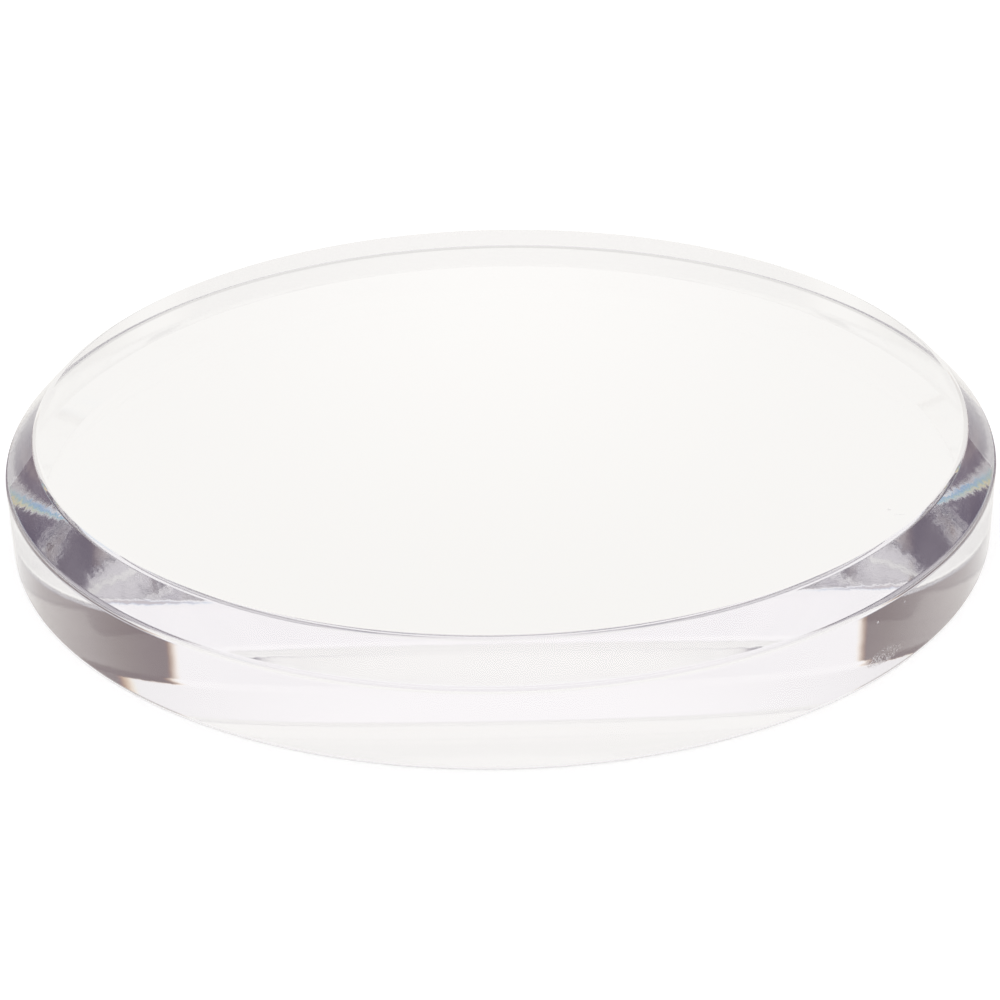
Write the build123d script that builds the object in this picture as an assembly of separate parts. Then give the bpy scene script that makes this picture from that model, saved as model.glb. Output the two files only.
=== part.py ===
from build123d import *
from math import radians, tan
import os

# A clear round display base: one thick disc of cast acrylic, turned from sheet, with a wide
# bevel round its top edge and every face and corner polished. It is a single piece: it stands
# on its flat underside, and what is shown stands on its flat top.
# Frame: millimetres, +Z up, origin at the centre of the underside.

# Driving dimensions
DISC_DIAMETER = 220.0  # across the side wall
SHEET_THICKNESS = 25.0  # of the sheet that the disc is turned from, so the whole height
BEVEL_WIDTH = 7.0  # how far the bevel comes in over the top, measured along the radius
BEVEL_ANGLE = 46.0  # between the bevel and the top face, in degrees
TOP_CORNER_RADIUS = 2.2  # the rounding that buffing leaves where the bevel meets the top face
SIDE_CORNER_RADIUS = 2.5  # and where the bevel meets the side wall
FOOT_CORNER_RADIUS = 1.0  # and round the underside

# What follows from them
WALL_RADIUS = DISC_DIAMETER / 2
TOP_FACE_RADIUS = WALL_RADIUS - BEVEL_WIDTH
BEVEL_HEIGHT = BEVEL_WIDTH * tan(radians(BEVEL_ANGLE))
WALL_HEIGHT = SHEET_THICKNESS - BEVEL_HEIGHT


def half_section():
    """One side of the disc's section, in the XZ plane, from its axis to its side wall."""
    with BuildSketch(Plane.XZ) as section:
        with BuildLine():
            Polyline(
                (0, 0),
                (WALL_RADIUS, 0),
                (WALL_RADIUS, WALL_HEIGHT),
                (TOP_FACE_RADIUS, SHEET_THICKNESS),
                (0, SHEET_THICKNESS),
                close=True,
            )
        make_face()
        corners = (
            (WALL_RADIUS, 0, FOOT_CORNER_RADIUS),
            (WALL_RADIUS, WALL_HEIGHT, SIDE_CORNER_RADIUS),
            (TOP_FACE_RADIUS, SHEET_THICKNESS, TOP_CORNER_RADIUS),
        )
        for across, up, radius in corners:
            fillet(section.vertices().sort_by_distance((across, up))[0], radius)
    return section.sketch


def display_disc():
    """The section turned about the disc's axis."""
    return revolve(half_section(), Axis.Z)


os.makedirs("parts", exist_ok=True)
export_step(display_disc(), "parts/display_disc.step")
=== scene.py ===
"""A clear round display base of cast acrylic, with the white studio that it stands in.

The disc is one solid: flat cast faces above and below, and a side wall and a wide bevel that are
turned and polished. Sizes are in metres, +Z up, with the origin at the centre of the underside.
"""

import math

import bmesh
import bpy
from bpy.props import FloatProperty, FloatVectorProperty, IntProperty, PointerProperty
from mathutils import Matrix, Vector


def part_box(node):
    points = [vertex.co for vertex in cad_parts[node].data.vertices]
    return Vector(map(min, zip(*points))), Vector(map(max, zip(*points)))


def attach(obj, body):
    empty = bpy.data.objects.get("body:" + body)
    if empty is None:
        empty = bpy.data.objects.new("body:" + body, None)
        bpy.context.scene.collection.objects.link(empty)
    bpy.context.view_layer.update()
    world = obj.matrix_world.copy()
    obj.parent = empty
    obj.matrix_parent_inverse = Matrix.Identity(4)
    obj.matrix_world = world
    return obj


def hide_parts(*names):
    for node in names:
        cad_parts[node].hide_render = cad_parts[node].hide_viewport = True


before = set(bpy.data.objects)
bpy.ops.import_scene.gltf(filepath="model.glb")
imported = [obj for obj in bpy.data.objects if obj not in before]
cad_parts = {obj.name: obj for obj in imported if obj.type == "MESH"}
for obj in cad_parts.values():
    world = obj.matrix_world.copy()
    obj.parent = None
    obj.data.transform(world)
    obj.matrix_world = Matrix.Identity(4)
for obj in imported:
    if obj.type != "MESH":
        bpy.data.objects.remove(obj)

bl_info = {
    "name": "Clear Display Base",
    "version": (1, 0, 0),
    "blender": (4, 5, 0),
    "location": "View3D > Sidebar > Display Base",
    "description": "Builds a clear acrylic display disc and the white studio round it",
    "category": "Object",
}

NODE = "display_disc"
LOW_CORNER, HIGH_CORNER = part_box(NODE)
DISC_RADIUS = (HIGH_CORNER[0] - LOW_CORNER[0]) / 2
DISC_HEIGHT = HIGH_CORNER[2] - LOW_CORNER[2]
MERGE_DISTANCE = 1e-6  # points of the turned outline that lie closer than this become one

# Wear on the disc. Each mark is an oval patch, given by its centre and by its reach from there.
# The small ones are two chips on the wall, and a scratch and a speck on the top face.
SCUFF = ((0.075, -0.0804, 0.0053), (0.0072, 0.0072, 0.002))
SCUFF_ROUGHNESS = 0.26
SCUFF_GRAIN_SCALE = 2500.0
SCUFF_GRAIN = (0.42, 0.66)  # the grain's noise is clear below the first and scuffed above the second
SMALL_MARKS = (
    ((0.0726, -0.0826, 0.014), (0.0003, 0.0003, 0.0003)),
    ((0.0787, -0.0768, 0.0151), (0.00025, 0.00025, 0.00025)),
    ((0.0801, -0.05935, DISC_HEIGHT), (0.0014, 0.00016, 0.0005)),
    ((0.0783, -0.0572, DISC_HEIGHT), (0.0005, 0.0005, 0.0005)),
)
SMALL_MARK_ROUGHNESS = 0.4

# The turned finish of the wall and the bevel: a ripple drawn out up the wall, and level streaks.
RIPPLE_STRETCH = (1.0, 1.0, 0.4)
RIPPLE_SCALE = 480.0
RIPPLE_DETAIL = 2.0
STREAK_STRETCH = (1.0, 1.0, 12.0)
STREAK_SCALE = 220.0
STREAK_SHARE = 0.06
FINE_DETAIL = 3.0

# Directions in the surroundings, in degrees: turn is from straight behind the disc, +Y, towards
# either side, and climb is up from the horizon. Tones are (angle, colour). A plain edge is (start,
# end), and a fringed one also says how far its red and its blue lie to either side. A band is
# (start, full, last, end): it rises to its full strength and falls again.
QUARTER_TURN = 90.0
HALF_TURN = 180.0
CARD_TONES = (
    (2.7, (0.87, 0.85, 0.86)),
    (9.0, (1.0, 0.98, 0.985)),
    (27.0, (1.0, 0.98, 0.985)),
    (32.4, (0.95, 0.93, 0.94)),
    (40.5, (0.95, 0.93, 0.94)),
    (49.5, (0.98, 0.96, 0.965)),
)
GAP_TONES = (
    (32.4, (0.2, 0.15, 0.16)),
    (37.8, (0.23, 0.18, 0.18)),
    (45.0, (0.3, 0.25, 0.25)),
    (61.2, (0.38, 0.33, 0.32)),
    (72.0, (0.65, 0.61, 0.6)),
    (81.0, (0.95, 0.93, 0.93)),
)
RIGHT_GAP_SOONER = 4.0  # the gap on the right starts nearer to straight behind by this much
GAP_NEAR_EDGE = (32.4, 34.2, 0.12)
GAP_LEANS_BELOW = 32.0
GAP_LEAN = 0.42  # turn for each degree that the near edge comes down
GAP_CUT_SLOPE = 1.8  # climb for each degree of turn along the slope that cuts off the gap's foot
GAP_CUT = (58.0, 61.5, 0.4)
GAP_TOP = (36.0, 32.0, 0.2)
BEAM_TONE = (0.55, 0.5, 0.52)
BEAM_START = (30.5, 34.5, -0.5)
BEAM_END = (60.0, 45.0)
BEAM_FOOT = (37.0, 41.0, -0.5)
BEAM_TOP = (50.0, 45.0, 0.5)
ROOM_TONES = (
    (127.8, (0.1, 0.085, 0.14)),
    (134.1, (0.5, 0.47, 0.52)),
    (144.0, (0.5, 0.47, 0.52)),
    (149.4, (0.1, 0.085, 0.14)),
)
ROOM_START = (88.0, 100.0, 0.3)
ROOM_TOP = (37.0, 34.0, 0.1)
ROOM_NARROWS_ABOVE = 26.0
ROOM_NARROWING = 12.0  # turn for each degree that the room's edge goes up
ROOM_NARROWING_MOST = 30.0
UPPER_ROOM = (24.5, 28.0)
UPPER_ROOM_TONE = (0.2, 0.17, 0.22)
SLIT = (18.0, 20.5, 23.5, 25.0)
SLIT_TONE = (0.55, 0.52, 0.55)
SLIT_DEPTH = 20.0  # rays that have met the disc's surface this often no longer see the slit
CLEAR_BOUNCES = 12.0  # meetings with the surface that cost no light
DULLED_BOUNCES = 11.0  # how many after those do cost light
KEPT_PER_BOUNCE = 0.975
MOST_BOUNCES = 64  # light goes round and round inside the rim before it leaves
MOST_CLEAR_BOUNCES = 32

# The table. Its bands round the disc are placed by turn, as above, and by the distance from the
# disc's axis as a share of the disc's radius. Under the rim at the back lies painted light that the
# rim has split, with a painted shade just outside it. A painted shade also lies further out on each
# side, as a darker band. A painted shadow lies in a ring under the rim, and painted light in a patch
# round the back rim.
TABLE_REACH = 3.0
TABLE_GAP = 0.0001
TABLE_PAINT = (0.93, 0.93, 0.93)
TABLE_GLOW = (0.34, 0.34, 0.34)
TABLE_TONE = (0.93, 0.92, 0.895)
# painted light: a brighter patch on the table round the back rim of the disc
PAINTED_LIGHT_TONE = (0.985, 0.975, 0.95)
PAINTED_LIGHT_PATCH = ((0.0, DISC_RADIUS, 0.0), (DISC_RADIUS, 0.2, 1.0))
SPLIT_LIGHT = (
    (0.9945, (0.7, 0.48, 0.32)),
    (0.9965, (0.7, 0.62, 0.32)),
    (0.9978, (0.34, 0.52, 0.6)),
    (0.9995, (0.3, 0.44, 0.66)),
    (1.0, (0.8, 0.78, 0.76)),
)
SPLIT_START = 0.99
SPLIT_TURN = (22.0, 26.0, 44.0, 50.0)
SPLIT_DEPTH = 4.0  # rays that have met the surface less often see only the rim's painted shadow
# painted shadow in a ring under the rim, dark at the back and faint at the front
RIM_SHADOW_BAND = (0.992, 0.995, 1.001, 1.004)
RIM_BACK_SHADOW_TONE = (0.75, 0.74, 0.72)
RIM_FRONT_SHADOW_TONE = (0.93, 0.92, 0.9)
RIM_FRONT = (60.0, 120.0)
SHADE_BAND = (1.001, 1.004, 1.03, 1.05)
SHADE_TONE = (0.45, 0.4, 0.39)
# painted shade: a darker band on the table further out on each side
SIDE_SHADE_BAND = (1.05, 1.1, 1.5, 1.6)
SIDE_SHADE_TURN = (66.0, 71.0, 84.0, 90.0)
SIDE_SHADE_TONE = (0.25, 0.21, 0.25)
TRAPPED_DEPTH = 13.0  # rays that have met the surface more often see each side dimmed by a painted shade
TRAPPED_TURN = (56.0, 60.0, 88.0, 92.0)
TRAPPED_SHADE_TONE = (0.2, 0.17, 0.22)

SENSOR_WIDTH = 36.0  # millimetres
NEAREST_SEEN = 0.01


# Settings


class DiscSettings(bpy.types.PropertyGroup):
    """Sizes and finish of the disc."""

    bevel_width: FloatProperty(
        name="Bevel Width",
        description="How far the bevel comes in over the top face",
        default=0.007,
        min=0.001,
        unit="LENGTH",
    )
    bevel_angle: FloatProperty(
        name="Bevel Angle",
        description="Angle between the bevel and the top face",
        default=math.radians(46.0),
        subtype="ANGLE",
    )
    top_corner: FloatProperty(
        name="Top Corner",
        description="Rounding where the bevel meets the top face",
        default=0.0022,
        min=0.0001,
        unit="LENGTH",
    )
    side_corner: FloatProperty(
        name="Side Corner",
        description="Rounding where the bevel meets the side wall",
        default=0.0025,
        min=0.0001,
        unit="LENGTH",
    )
    foot_corner: FloatProperty(
        name="Foot Corner",
        description="Rounding where the side wall meets the underside",
        default=0.001,
        min=0.0001,
        unit="LENGTH",
    )
    corner_steps: IntProperty(
        name="Corner Steps",
        description="Facets across each rounded corner",
        default=8,
        min=2,
    )
    turn_steps: IntProperty(
        name="Turn Steps",
        description="Facets round the disc",
        default=1440,
        min=64,
    )
    refraction: FloatProperty(
        name="Index of Refraction",
        description="How strongly the acrylic bends light",
        default=1.49,
        min=1.0,
    )
    edge_roughness: FloatProperty(
        name="Edge Roughness",
        description="Roughness left on the turned wall and bevel by buffing",
        default=0.03,
        min=0.0,
    )
    ripple_height: FloatProperty(
        name="Ripple Height",
        description="Height of the fine ripple left on the turned wall and bevel",
        default=6e-6,
        min=0.0,
        unit="LENGTH",
    )
    tint: FloatVectorProperty(
        name="Tint",
        description="Colour of the acrylic where it is thick",
        default=(0.78, 0.75, 0.81, 1.0),
        size=4,
        subtype="COLOR",
    )
    tint_density: FloatProperty(
        name="Tint Density",
        description="How fast the tint deepens with thickness",
        default=0.9,
        min=0.0,
    )


class StudioSettings(bpy.types.PropertyGroup):
    """Where the camera stands and how it looks at the disc."""

    camera_distance: FloatProperty(
        name="Camera Distance",
        description="From the middle of the disc to the camera",
        default=4.6699 * DISC_RADIUS,
        unit="LENGTH",
    )
    camera_height: FloatProperty(
        name="Camera Height",
        description="Angle of the camera above the horizon",
        default=math.radians(26.707),
        subtype="ANGLE",
    )
    camera_roll: FloatProperty(
        name="Camera Roll",
        description="Turn of the camera about its own axis",
        default=math.radians(-1.115),
        subtype="ANGLE",
    )
    camera_lens: FloatProperty(
        name="Focal Length",
        description="Focal length in millimetres on a 36 mm sensor",
        default=81.42,
    )
    camera_shift: FloatVectorProperty(
        name="Camera Shift",
        description="Shift of the lens to the right and up, as a share of the sensor",
        default=(-0.0004, -0.05474),
        size=2,
    )


# Node helpers


def set_input(tree, socket, value):
    """Feeds a node's input from a number, a colour or another node's output."""
    if isinstance(value, bpy.types.NodeSocket):
        tree.links.new(value, socket)
    else:
        socket.default_value = value


def maths(tree, operation, *values):
    """A Math node. Each value is a number or another node's output."""
    node = tree.nodes.new("ShaderNodeMath")
    node.operation = operation
    for socket, value in zip(node.inputs, values):
        set_input(tree, socket, value)
    return node.outputs[0]


def vector_maths(tree, operation, *values):
    """A Vector Math node, whose answer is a vector."""
    node = tree.nodes.new("ShaderNodeVectorMath")
    node.operation = operation
    for socket, value in zip(node.inputs, values):
        set_input(tree, socket, value)
    return node.outputs["Vector"]


def rise(tree, value, start, end):
    """Rises smoothly from 0 at start to 1 at end, and falls where end is the lower."""
    node = tree.nodes.new("ShaderNodeMapRange")
    node.interpolation_type = "SMOOTHSTEP"
    set_input(tree, node.inputs["Value"], value)
    node.inputs["From Min"].default_value = start
    node.inputs["From Max"].default_value = end
    return node.outputs["Result"]


def band(tree, value, start, full, last, end):
    """Rises smoothly from 0 at start to 1 at full, and falls from 1 at last to 0 at end."""
    return maths(tree, "MULTIPLY", rise(tree, value, start, full), rise(tree, value, end, last))


def blend(tree, factor, first, second):
    """Mixes two colours. A vector factor mixes red, green and blue each by its own share."""
    node = tree.nodes.new("ShaderNodeMix")
    node.data_type = "VECTOR"
    node.factor_mode = "NON_UNIFORM" if factor.type == "VECTOR" else "UNIFORM"
    plain_factor, vector_factor = node.inputs[:2]
    first_vector, second_vector = node.inputs[4:6]
    set_input(tree, vector_factor if factor.type == "VECTOR" else plain_factor, factor)
    set_input(tree, first_vector, first)
    set_input(tree, second_vector, second)
    return node.outputs[1]


def coloured_product(tree, first, *others):
    """Multiplies colours with one another."""
    for other in others:
        first = vector_maths(tree, "MULTIPLY", first, other)
    return first


def parts_of(tree, vector):
    """The x, y and z of a place or a direction."""
    node = tree.nodes.new("ShaderNodeSeparateXYZ")
    set_input(tree, node.inputs[0], vector)
    return node.outputs


def axis_distance(tree, x, y):
    """Distance from the disc's axis."""
    squares = maths(tree, "ADD", maths(tree, "MULTIPLY", x, x), maths(tree, "MULTIPLY", y, y))
    return maths(tree, "SQRT", squares)


def turn_from_back(tree, x, y):
    """Turn from +Y in degrees, the same on both sides."""
    return maths(tree, "DEGREES", maths(tree, "ARCTAN2", maths(tree, "ABSOLUTE", x), y))


def dulled(tree, path, colour):
    """Dims a colour by a little for each late bounce inside the disc, as its buffed edge does."""
    late = maths(tree, "SUBTRACT", path["Ray Depth"], CLEAR_BOUNCES)
    bounces = maths(tree, "MINIMUM", maths(tree, "MAXIMUM", late, 0.0), DULLED_BOUNCES)
    kept = maths(tree, "POWER", KEPT_PER_BOUNCE, bounces)
    return coloured_product(tree, colour, blend(tree, kept, (0, 0, 0), (1, 1, 1)))


def noise(tree, place, scale, detail):
    """A Noise Texture's value, about 0.5 in the middle."""
    node = tree.nodes.new("ShaderNodeTexNoise")
    set_input(tree, node.inputs["Vector"], place)
    node.inputs["Scale"].default_value = scale
    node.inputs["Detail"].default_value = detail
    return node.outputs["Fac"]


# The disc


def build_disc(sizes):
    """Turns the disc's outline about its axis and rounds its three corners."""
    wall_top = DISC_HEIGHT - sizes.bevel_width * math.tan(sizes.bevel_angle)
    top_radius = DISC_RADIUS - sizes.bevel_width
    outline = (
        (0, 0),
        (DISC_RADIUS, 0),
        (DISC_RADIUS, wall_top),
        (top_radius, DISC_HEIGHT),
        (0, DISC_HEIGHT),
    )
    shape = bmesh.new()
    corners = [shape.verts.new((x, 0, z)) for x, z in outline]
    edges = [shape.edges.new(pair) for pair in zip(corners, corners[1:])]
    bmesh.ops.spin(
        shape,
        geom=corners + edges,
        cent=(0, 0, 0),
        axis=(0, 0, 1),
        angle=2 * math.pi,
        steps=sizes.turn_steps,
        use_merge=True,
    )
    bmesh.ops.remove_doubles(shape, verts=shape.verts, dist=MERGE_DISTANCE)
    corners = (
        (DISC_RADIUS, 0, sizes.foot_corner, math.pi / 2),
        (DISC_RADIUS, wall_top, sizes.side_corner, math.pi / 2 - sizes.bevel_angle),
        (top_radius, DISC_HEIGHT, sizes.top_corner, sizes.bevel_angle),
    )
    for radius, height, rounding, turn in corners:
        round_corner(shape, radius, height, rounding * math.tan(turn / 2), sizes.corner_steps)
    bmesh.ops.recalc_face_normals(shape, faces=shape.faces)
    mesh = bpy.data.meshes.new("clear_disc")
    shape.to_mesh(mesh)
    shape.free()
    return mesh


def round_corner(shape, radius, height, offset, steps):
    """Rounds the circular edge at one radius and height."""
    near = 1e-5

    def on_circle(vert):
        off_radius = abs(math.hypot(vert.co.x, vert.co.y) - radius)
        return off_radius < near and abs(vert.co.z - height) < near

    circle = [edge for edge in shape.edges if all(on_circle(vert) for vert in edge.verts)]
    bmesh.ops.bevel(
        shape,
        geom=circle,
        offset=offset,
        offset_type="OFFSET",
        segments=steps,
        profile=0.5,
        affect="EDGES",
        material=-1,
    )


def smooth_by_area(mesh):
    """Smooth shading in which the large flat and straight faces keep their own direction."""
    mesh.shade_smooth()
    normals = [Vector() for _ in mesh.vertices]
    for face in mesh.polygons:
        for index in face.vertices:
            normals[index] += face.normal * face.area
    mesh.normals_split_custom_set_from_vertices([normal.normalized() for normal in normals])


def turned_share(tree, place, sizes):
    """1 on the turned side wall and bevel, and 0 on the cast faces above and below."""
    x, y, z = parts_of(tree, place)
    rim = DISC_RADIUS - sizes.bevel_width
    outside = rise(tree, axis_distance(tree, x, y), rim - sizes.top_corner / 2, rim)
    above = rise(tree, z, 0.0, sizes.foot_corner)
    return maths(tree, "MULTIPLY", outside, above)


def spot(tree, place, centre, size, core=0.7):
    """1 in the core of an oval patch, and falling to 0 at its edge."""
    node = tree.nodes.new("ShaderNodeVectorMath")
    node.operation = "DISTANCE"
    set_input(tree, node.inputs[0], vector_maths(tree, "DIVIDE", place, size))
    set_input(tree, node.inputs[1], [middle / reach for middle, reach in zip(centre, size)])
    return rise(tree, node.outputs["Value"], 1.0, core)


def wear(tree, place):
    """Roughness of a scuff and two chips on the side wall, and of a scratch and a speck on the top."""
    grain = rise(tree, noise(tree, place, SCUFF_GRAIN_SCALE, FINE_DETAIL), *SCUFF_GRAIN)
    scuff = maths(tree, "MULTIPLY", grain, spot(tree, place, *SCUFF))
    marks = maths(tree, "MULTIPLY", scuff, SCUFF_ROUGHNESS)
    for centre, size in SMALL_MARKS:
        mark = spot(tree, place, centre, size)
        marks = maths(tree, "MULTIPLY_ADD", mark, SMALL_MARK_ROUGHNESS, marks)
    return marks


def turned_ripple(tree, place):
    """Height of the turned finish, as a share of the ripple's height."""
    drawn_out = vector_maths(tree, "MULTIPLY", place, RIPPLE_STRETCH)
    ripple = noise(tree, drawn_out, RIPPLE_SCALE, RIPPLE_DETAIL)
    level = vector_maths(tree, "MULTIPLY", place, STREAK_STRETCH)
    streaks = noise(tree, level, STREAK_SCALE, FINE_DETAIL)
    return maths(tree, "MULTIPLY_ADD", streaks, STREAK_SHARE, ripple)


def acrylic_material(sizes):
    """Clear cast acrylic: glassy cast faces, and an edge that was turned and buffed by hand."""
    material = bpy.data.materials.new("clear acrylic")
    material.use_nodes = True
    tree = material.node_tree
    surface = tree.nodes["Principled BSDF"]
    surface.inputs["Base Color"].default_value = (1, 1, 1, 1)
    surface.inputs["IOR"].default_value = sizes.refraction
    surface.inputs["Transmission Weight"].default_value = 1.0
    place = tree.nodes.new("ShaderNodeTexCoord").outputs["Object"]
    turned = turned_share(tree, place, sizes)
    roughness = maths(tree, "MULTIPLY_ADD", turned, sizes.edge_roughness, wear(tree, place))
    set_input(tree, surface.inputs["Roughness"], roughness)
    height = maths(tree, "MULTIPLY", turned_ripple(tree, place), turned)
    bump = tree.nodes.new("ShaderNodeBump")
    bump.inputs["Strength"].default_value = 1.0
    bump.inputs["Distance"].default_value = sizes.ripple_height
    set_input(tree, bump.inputs["Height"], height)
    set_input(tree, surface.inputs["Normal"], bump.outputs["Normal"])
    body = tree.nodes.new("ShaderNodeVolumeAbsorption")
    body.inputs["Color"].default_value = sizes.tint
    body.inputs["Density"].default_value = sizes.tint_density
    set_input(tree, tree.nodes["Material Output"].inputs["Volume"], body.outputs[0])
    return material


class OBJECT_OT_display_disc(bpy.types.Operator):
    """Build the clear disc"""

    bl_idname = "object.display_disc"
    bl_label = "Display Disc"

    def execute(self, context):
        mesh = build_disc(context.scene.disc_settings)
        smooth_by_area(mesh)
        mesh.materials.append(acrylic_material(context.scene.disc_settings))
        disc = bpy.data.objects.new("clear_disc", mesh)
        context.collection.objects.link(disc)
        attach(disc, "root")
        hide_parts(NODE)
        return {"FINISHED"}


# The studio


def fringed_rise(tree, value, start, end, spread):
    """Rises like rise(), but red rises later by the spread and blue sooner, as clear edges split it."""
    node = tree.nodes.new("ShaderNodeMapRange")
    node.data_type = "FLOAT_VECTOR"
    node.interpolation_type = "SMOOTHSTEP"
    node.clamp = True
    shift = Vector((spread, 0, -spread))
    value_socket, start_socket, end_socket = node.inputs[6:9]
    set_input(tree, value_socket, value)
    start_socket.default_value = Vector((start, start, start)) + shift
    end_socket.default_value = Vector((end, end, end)) + shift
    return node.outputs["Vector"]


def shade_by(tree, value, lowest, highest, stops):
    """A colour that changes evenly between stops of (value, colour), from lowest to highest."""
    reach = highest - lowest
    node = tree.nodes.new("ShaderNodeValToRGB")
    share = maths(tree, "DIVIDE", maths(tree, "SUBTRACT", value, lowest), reach)
    set_input(tree, node.inputs[0], share)
    marks = node.color_ramp.elements
    while len(marks) < len(stops):
        marks.new(1.0)
    for mark, (position, colour) in zip(marks, stops):
        mark.position = (position - lowest) / reach
        mark.color = (*colour, 1)
    return node.outputs["Color"]


def gap_share(tree, off_centre, climb):
    """1 in the dim gap at each end of the card. It widens downwards until a slope cuts off its foot."""
    below = maths(tree, "MAXIMUM", maths(tree, "SUBTRACT", GAP_LEANS_BELOW, climb), 0.0)
    leaning = maths(tree, "ADD", maths(tree, "MULTIPLY", below, GAP_LEAN), off_centre)
    sloping = maths(tree, "MULTIPLY_ADD", off_centre, GAP_CUT_SLOPE, climb)
    return coloured_product(
        tree,
        fringed_rise(tree, leaning, *GAP_NEAR_EDGE),
        fringed_rise(tree, sloping, *GAP_CUT),
        fringed_rise(tree, climb, *GAP_TOP),
    )


def beam_share(tree, turn, off_centre, climb):
    """1 on the grey beam over each end of the card."""
    along = fringed_rise(tree, off_centre, *BEAM_START)
    return coloured_product(
        tree,
        blend(tree, rise(tree, turn, *BEAM_END), (0, 0, 0), along),
        fringed_rise(tree, climb, *BEAM_FOOT),
        fringed_rise(tree, climb, *BEAM_TOP),
    )


def room_share(tree, turn, climb):
    """1 in the dim room on the camera's side, which starts further round where it is higher."""
    above = maths(tree, "MAXIMUM", maths(tree, "SUBTRACT", climb, ROOM_NARROWS_ABOVE), 0.0)
    narrowing = maths(tree, "MULTIPLY", above, ROOM_NARROWING)
    later = maths(tree, "MINIMUM", narrowing, ROOM_NARROWING_MOST)
    return coloured_product(
        tree,
        fringed_rise(tree, maths(tree, "SUBTRACT", turn, later), *ROOM_START),
        fringed_rise(tree, climb, *ROOM_TOP),
    )


def room_tone(tree, path, turn, climb):
    """Colour of the dim room, which has a paler stretch on each side and a level slit of light."""
    early = maths(tree, "LESS_THAN", path["Ray Depth"], SLIT_DEPTH)
    slit = maths(tree, "MULTIPLY", band(tree, climb, *SLIT), early)
    tone = blend(tree, slit, shade_by(tree, turn, 0.0, HALF_TURN, ROOM_TONES), SLIT_TONE)
    return blend(tree, rise(tree, climb, *UPPER_ROOM), tone, UPPER_ROOM_TONE)


def studio_world(scene):
    """White for the camera and for plain surfaces, and a studio for what the disc bends or mirrors.

    The studio is a pale card behind the disc, with a dim gap and a grey beam at each end of it,
    and a dim room on the camera's side.
    """
    world = bpy.data.worlds.new("studio")
    scene.world = world
    world.use_nodes = True
    tree = world.node_tree
    tree.nodes.clear()
    path = tree.nodes.new("ShaderNodeLightPath").outputs
    x, y, z = parts_of(tree, tree.nodes.new("ShaderNodeTexCoord").outputs["Generated"])
    turn = turn_from_back(tree, x, y)
    climb = maths(tree, "DEGREES", maths(tree, "ARCSINE", z))
    right = maths(tree, "GREATER_THAN", x, 0.0)
    off_centre = maths(tree, "ADD", turn, maths(tree, "MULTIPLY", RIGHT_GAP_SOONER, right))
    card = shade_by(tree, climb, 0.0, QUARTER_TURN, CARD_TONES)
    card = blend(tree, beam_share(tree, turn, off_centre, climb), card, BEAM_TONE)
    gap = shade_by(tree, turn, 0.0, HALF_TURN, GAP_TONES)
    studio = blend(tree, gap_share(tree, off_centre, climb), card, gap)
    room = room_tone(tree, path, turn, climb)
    studio = blend(tree, room_share(tree, turn, climb), studio, room)
    plain = maths(tree, "MAXIMUM", path["Is Camera Ray"], path["Is Diffuse Ray"])
    background = tree.nodes.new("ShaderNodeBackground")
    shown = blend(tree, plain, dulled(tree, path, studio), (1, 1, 1))
    set_input(tree, background.inputs["Color"], shown)
    output = tree.nodes.new("ShaderNodeOutputWorld")
    set_input(tree, output.inputs["Surface"], background.outputs[0])


def rim_shadow_and_split_light(tree, path, turn, across):
    """Colour of the table just under the rim: a painted shadow, where painted light that the rim has
    split falls at the back.
    """
    tone = blend(tree, rise(tree, turn, *RIM_FRONT), RIM_BACK_SHADOW_TONE, RIM_FRONT_SHADOW_TONE)
    late = maths(tree, "GREATER_THAN", path["Ray Depth"], SPLIT_DEPTH)
    split = maths(tree, "MULTIPLY", band(tree, turn, *SPLIT_TURN), late)
    return blend(tree, split, tone, shade_by(tree, across, SPLIT_START, 1.0, SPLIT_LIGHT))


def table_tone(tree, path, place):
    """Colour of the table as the disc bends or mirrors it, with the painted light and shade that lie
    round the rim.
    """
    x, y = parts_of(tree, place)[:2]
    turn = turn_from_back(tree, x, y)
    across = maths(tree, "DIVIDE", axis_distance(tree, x, y), DISC_RADIUS)
    # painted light: the table is brighter in a patch round the back rim
    tone = blend(tree, spot(tree, place, *PAINTED_LIGHT_PATCH, core=0.0), TABLE_TONE, PAINTED_LIGHT_TONE)
    shade = maths(tree, "MULTIPLY", band(tree, turn, *SPLIT_TURN), band(tree, across, *SHADE_BAND))
    tone = blend(tree, shade, tone, SHADE_TONE)
    # painted shade: a darker band on the table further out on each side
    side = maths(tree, "MULTIPLY", band(tree, turn, *SIDE_SHADE_TURN), band(tree, across, *SIDE_SHADE_BAND))
    tone = blend(tree, side, tone, SIDE_SHADE_TONE)
    # painted shadow in a ring under the rim, with painted split light in it at the back
    tone = blend(tree, band(tree, across, *RIM_SHADOW_BAND), tone, rim_shadow_and_split_light(tree, path, turn, across))
    # painted shade: rays that have met the surface often see the table dark on each side
    trapped = maths(tree, "GREATER_THAN", path["Ray Depth"], TRAPPED_DEPTH)
    trapped_shade = maths(tree, "MULTIPLY", trapped, band(tree, turn, *TRAPPED_TURN))
    return blend(tree, trapped_shade, tone, TRAPPED_SHADE_TONE)


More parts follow.
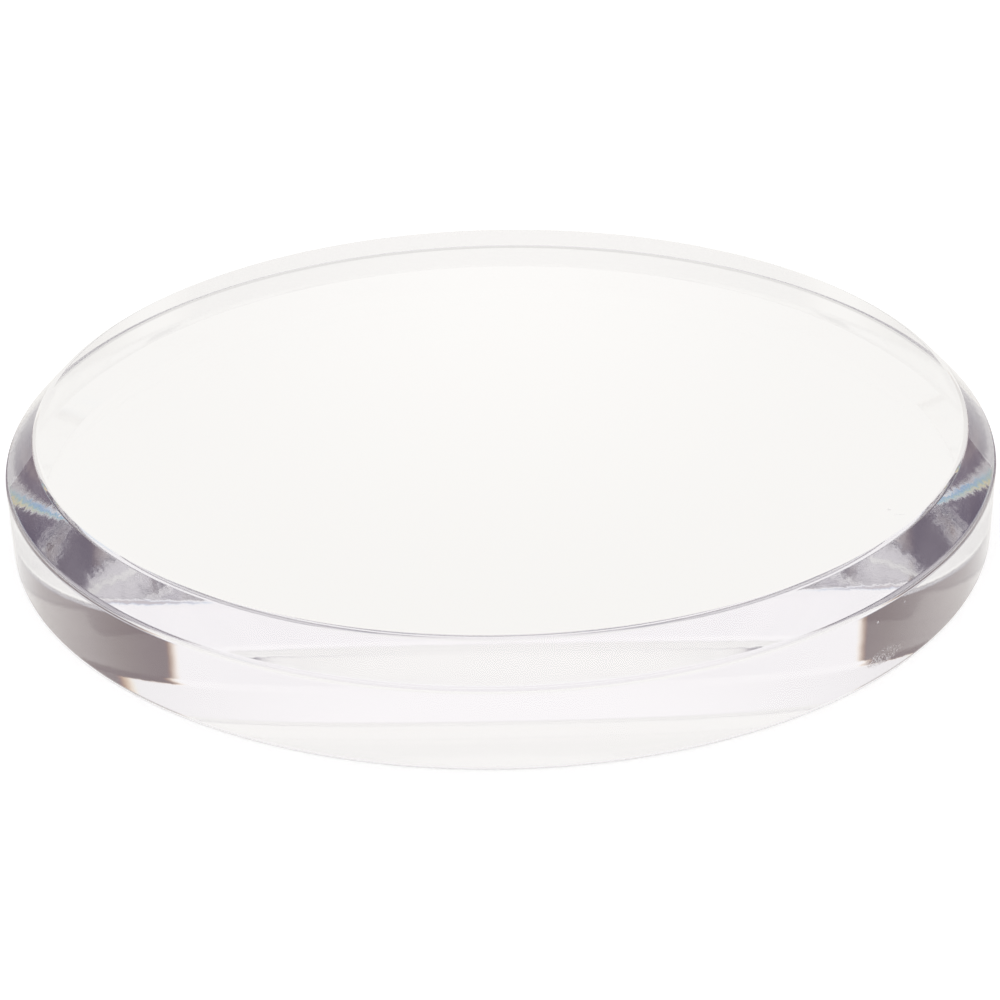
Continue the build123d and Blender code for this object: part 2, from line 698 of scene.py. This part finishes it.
def table_material():
    """White paint that glows a little for the camera. The disc shows it as bright as the card."""
    material = bpy.data.materials.new("white floor")
    material.use_nodes = True
    tree = material.node_tree
    surface = tree.nodes["Principled BSDF"]
    surface.inputs["Roughness"].default_value = 1.0
    surface.inputs["Specular IOR Level"].default_value = 0.0
    surface.inputs["Emission Strength"].default_value = 1.0
    place = tree.nodes.new("ShaderNodeTexCoord").outputs["Object"]
    path = tree.nodes.new("ShaderNodeLightPath").outputs
    clear = maths(tree, "MAXIMUM", path["Is Transmission Ray"], path["Is Glossy Ray"])
    seen = blend(tree, path["Is Camera Ray"], (0, 0, 0), TABLE_GLOW)
    glow = blend(tree, clear, seen, table_tone(tree, path, place))
    set_input(tree, surface.inputs["Base Color"], blend(tree, clear, TABLE_PAINT, (0, 0, 0)))
    set_input(tree, surface.inputs["Emission Color"], glow)
    return material


def studio_floor(context):
    """A wide white table just under the disc."""
    shape = bmesh.new()
    bmesh.ops.create_grid(shape, x_segments=1, y_segments=1, size=TABLE_REACH)
    bmesh.ops.translate(shape, verts=shape.verts, vec=(0, 0, -TABLE_GAP))
    mesh = bpy.data.meshes.new("floor")
    shape.to_mesh(mesh)
    shape.free()
    mesh.materials.append(table_material())
    floor = bpy.data.objects.new("floor", mesh)
    context.collection.objects.link(floor)


def studio_camera(context, studio):
    """A camera in front of the disc and above it, aimed at its middle."""
    data = bpy.data.cameras.new("camera")
    data.sensor_width = SENSOR_WIDTH
    data.lens = studio.camera_lens
    data.shift_x, data.shift_y = studio.camera_shift
    camera = bpy.data.objects.new("camera", data)
    context.collection.objects.link(camera)
    middle = Vector((0, 0, DISC_HEIGHT / 2))
    back = Vector((0, -math.cos(studio.camera_height), math.sin(studio.camera_height)))
    place = Matrix.Translation(middle + back * studio.camera_distance)
    aim = (-back).to_track_quat("-Z", "Y").to_matrix().to_4x4()
    camera.matrix_world = place @ aim @ Matrix.Rotation(studio.camera_roll, 4, "Z")
    data.clip_start = NEAREST_SEEN
    context.scene.camera = camera


class SCENE_OT_display_studio(bpy.types.Operator):
    """Set up the floor, the surroundings and the camera"""

    bl_idname = "scene.display_studio"
    bl_label = "Studio"

    def execute(self, context):
        scene = context.scene
        scene.view_settings.view_transform = "Standard"
        scene.cycles.max_bounces = MOST_BOUNCES
        scene.cycles.glossy_bounces = MOST_BOUNCES
        scene.cycles.transmission_bounces = MOST_CLEAR_BOUNCES
        studio_world(scene)
        studio_floor(context)
        studio_camera(context, scene.studio_settings)
        return {"FINISHED"}


class VIEW3D_PT_display_base(bpy.types.Panel):
    """The pieces of the display base and its studio"""

    bl_idname = "VIEW3D_PT_display_base"
    bl_label = "Display Base"
    bl_space_type = "VIEW_3D"
    bl_region_type = "UI"
    bl_category = "Display Base"

    def draw(self, context):
        layout = self.layout
        for settings in (context.scene.disc_settings, context.scene.studio_settings):
            box = layout.box()
            for name in settings.bl_rna.properties.keys():
                if name not in ("rna_type", "name"):
                    box.prop(settings, name)
        layout.operator(OBJECT_OT_display_disc.bl_idname)
        layout.operator(SCENE_OT_display_studio.bl_idname)


CLASSES = (
    DiscSettings,
    StudioSettings,
    OBJECT_OT_display_disc,
    SCENE_OT_display_studio,
    VIEW3D_PT_display_base,
)


def register():
    for item in CLASSES:
        bpy.utils.register_class(item)
    bpy.types.Scene.disc_settings = PointerProperty(type=DiscSettings)
    bpy.types.Scene.studio_settings = PointerProperty(type=StudioSettings)


def unregister():
    del bpy.types.Scene.studio_settings
    del bpy.types.Scene.disc_settings
    for item in reversed(CLASSES):
        bpy.utils.unregister_class(item)


def main():
    """Builds everything in order."""
    register()
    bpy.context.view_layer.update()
    bpy.ops.scene.display_studio()
    bpy.ops.object.display_disc()


if __name__ == "__main__":
    main()
